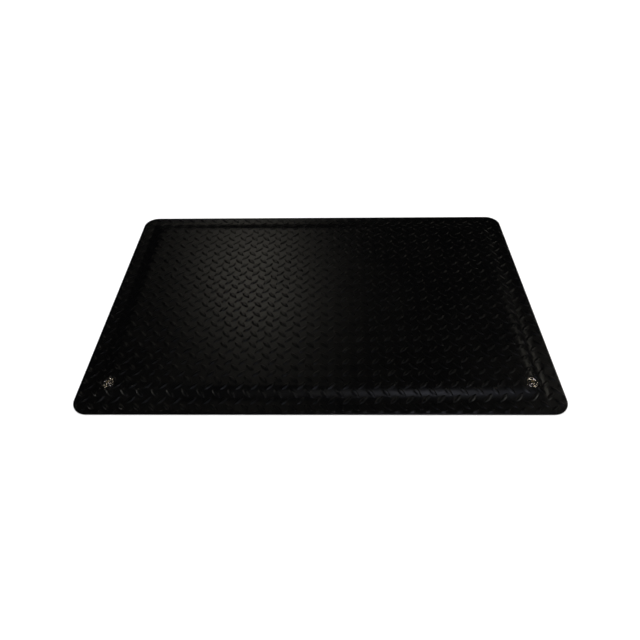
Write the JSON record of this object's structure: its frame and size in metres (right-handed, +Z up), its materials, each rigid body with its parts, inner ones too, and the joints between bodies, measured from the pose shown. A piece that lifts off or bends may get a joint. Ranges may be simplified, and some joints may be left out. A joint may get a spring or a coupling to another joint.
{
  "type": "anti-fatigue floor mat",
  "caption": "Bevelled anti-fatigue floor mat: embossed lozenge-pattern cover over a foam core, flat flange all round, tilted grounding studs at the front corners.",
  "frame": {"origin": "centre of the underside, on the floor", "axes": "+X along the length, to the right seen from the side with the snaps; +Y away from the snaps; +Z up"},
  "size_m": [0.9144, 0.6096, 0.0143],
  "materials": {
    "backing_vinyl": "matt black vinyl, fine non-slip grain",
    "closed_cell_foam": "matt dark grey closed-cell foam",
    "carbon_vinyl_film": "carbon-loaded black vinyl film",
    "cover_vinyl": "satin black vinyl with raised lozenges",
    "nickel_plate": "nickel-plated brass, lightly worn",
    "rivet_brass": "plain brass",
    "washer_steel": "zinc-plated spring steel"
  },
  "bodies": {
    "root": {"bottom_sheet": "backing_vinyl", "foam_core": "closed_cell_foam", "conductive_film": "carbon_vinyl_film", "diamond_plate_cover": "cover_vinyl", "left_cup_washer": "nickel_plate", "left_snap_stud": "nickel_plate", "left_tubular_rivet": "rivet_brass", "left_star_washer": "washer_steel", "right_cup_washer": "nickel_plate", "right_snap_stud": "nickel_plate", "right_tubular_rivet": "rivet_brass", "right_star_washer": "washer_steel"}
  },
  "joints": []
}
